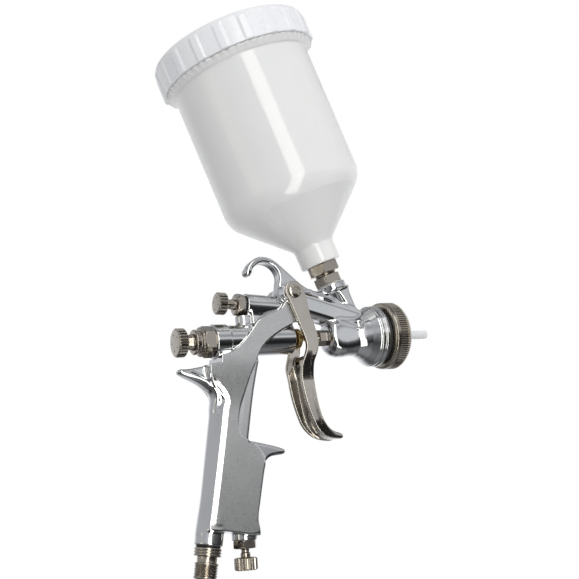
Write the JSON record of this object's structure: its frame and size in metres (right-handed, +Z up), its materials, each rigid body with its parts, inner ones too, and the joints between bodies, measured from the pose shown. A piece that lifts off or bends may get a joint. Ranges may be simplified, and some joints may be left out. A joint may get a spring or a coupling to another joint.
{
  "type": "gravity-feed spray gun",
  "caption": "Gravity-feed spray gun with a tilted lidded paint cup, a sprung trigger, an air cap in a knurled ring, control knobs and a hanging hook.",
  "frame": {"origin": "centre of the air inlet's open hose end, where the hose nut screws on", "axes": "+X is the way the gun sprays, along the level needle; +Z is up, with the cup on top; +Y is to the gun's left. The grip and the inlet lean 13 degrees from the vertical and the cup 17.8 degrees the other way."},
  "size_m": [0.1777, 0.1028, 0.339],
  "materials": {
    "body_chrome": "forged and chrome plated, polished, with satin flats",
    "nickel": "nickel plated, bright, slightly warm",
    "ring_nickel": "nickel plated, straight knurl",
    "trigger_nickel": "cast and nickel plated, polished, softly uneven",
    "steel": "machined stainless steel",
    "spring_steel": "drawn wire",
    "brass": "machined brass, dulled",
    "cup_plastic": "milky, slightly see-through nylon",
    "lid_plastic": "white moulded plastic with fine mould marks",
    "tip_white": "soft white plastic",
    "seal_white": "white sealing plastic",
    "seal_black": "black rubber"
  },
  "bodies": {
    "casting": {"gun_body": "body_chrome", "air_inlet": "nickel", "inlet_seal": "seal_black", "regulator_body": "nickel", "fan_valve_body": "nickel", "fan_valve_o_ring": "seal_black", "needle_bushing": "nickel", "air_valve_seat": "brass", "needle_spring": "spring_steel", "air_valve_spring": "spring_steel", "packing_nut": "nickel", "packing_seal": "seal_white", "fluid_nozzle": "steel", "air_distributor": "nickel", "air_cap_seal": "seal_black", "trigger_pin": "nickel", "trigger_pin_screw": "nickel", "inlet_fitting": "nickel", "fitting_washer": "seal_white"},
    "trigger": {"trigger": "trigger_nickel"},
    "air_valve": {"air_valve_stem": "brass", "air_valve_washer": "seal_black"},
    "fluid_needle": {"needle": "steel"},
    "fluid_control": {"fluid_knob": "nickel"},
    "fan_control": {"fan_knob": "nickel", "fan_valve_stem": "steel"},
    "air_control": {"regulator_knob": "nickel", "regulator_stem": "nickel", "regulator_o_ring": "seal_black"},
    "spray_cap": {"air_cap": "brass"},
    "cap_ring": {"air_cap_ring": "ring_nickel"},
    "nozzle_guard": {"tip_protector": "tip_white"},
    "paint_cup": {"cup": "cup_plastic", "cup_nut": "nickel", "cup_filter": "steel"},
    "cup_cover": {"cup_lid": "lid_plastic", "lid_gasket": "seal_white"},
    "vent": {"vent_plug": "lid_plastic"}
  },
  "joints": [
    {"name": "trigger_pull", "type": "hinge", "parent": "casting", "child": "trigger", "pos_m": [0.07023, 0, 0.1558], "axis": [0, 1, 0], "range_deg": [0, 11], "stiffness_Nm_per_rad": 0.5, "springref_deg": -11.46},
    {"name": "air_valve_slide", "type": "slide", "parent": "casting", "child": "air_valve", "axis": [-1, 0, 0], "range_m": [0, 0.00515], "deforming": ["air_valve_spring"]},
    {"name": "needle_slide", "type": "slide", "parent": "casting", "child": "fluid_needle", "axis": [-1, 0, 0], "range_m": [0, 0.00405], "deforming": ["needle_spring"]},
    {"name": "fluid_knob_turn", "type": "hinge", "parent": "casting", "child": "fluid_control", "pos_m": [0.00323, 0, 0.1292], "axis": [1, 0, 0], "range_deg": [0, 720]},
    {"name": "fan_knob_turn", "type": "hinge", "parent": "casting", "child": "fan_control", "pos_m": [0.02393, 0, 0.15204], "axis": [0.9962, 0, -0.0872], "range_deg": [0, 540]},
    {"name": "air_regulator_turn", "type": "hinge", "parent": "casting", "child": "air_control", "pos_m": [0.02581, 0, 0.02021], "axis": [-0.0576, 0, -0.9983], "range_deg": [0, 270]},
    {"name": "air_cap_turn", "type": "hinge", "parent": "casting", "child": "spray_cap", "pos_m": [0.14323, 0, 0.1292], "axis": [1, 0, 0], "range_deg": [-90, 90]},
    {"name": "cap_ring_turn", "type": "hinge", "parent": "casting", "child": "cap_ring", "pos_m": [0.13923, 0, 0.1292], "axis": [1, 0, 0], "continuous": true},
    {"name": "guard_pull_off", "type": "slide", "parent": "casting", "child": "nozzle_guard", "axis": [1, 0, 0], "range_m": [0, 0.04]},
    {"name": "cup_lift_off", "type": "slide", "parent": "casting", "child": "paint_cup", "axis": [-0.3057, 0, 0.9521], "range_m": [0, 0.06]},
    {"name": "lid_lift_off", "type": "slide", "parent": "paint_cup", "child": "cup_cover", "axis": [-0.3057, 0, 0.9521], "range_m": [0, 0.05]},
    {"name": "vent_pull_up", "type": "slide", "parent": "cup_cover", "child": "vent", "axis": [-0.3057, 0, 0.9521], "range_m": [0, 0.01]}
  ],
  "couplings": [
    {"joint": "air_valve_slide", "follows": "trigger_pull", "m_per_rad": 0.0266},
    {"joint": "needle_slide", "follows": "trigger_pull", "m_per_rad": 0.0208}
  ]
}
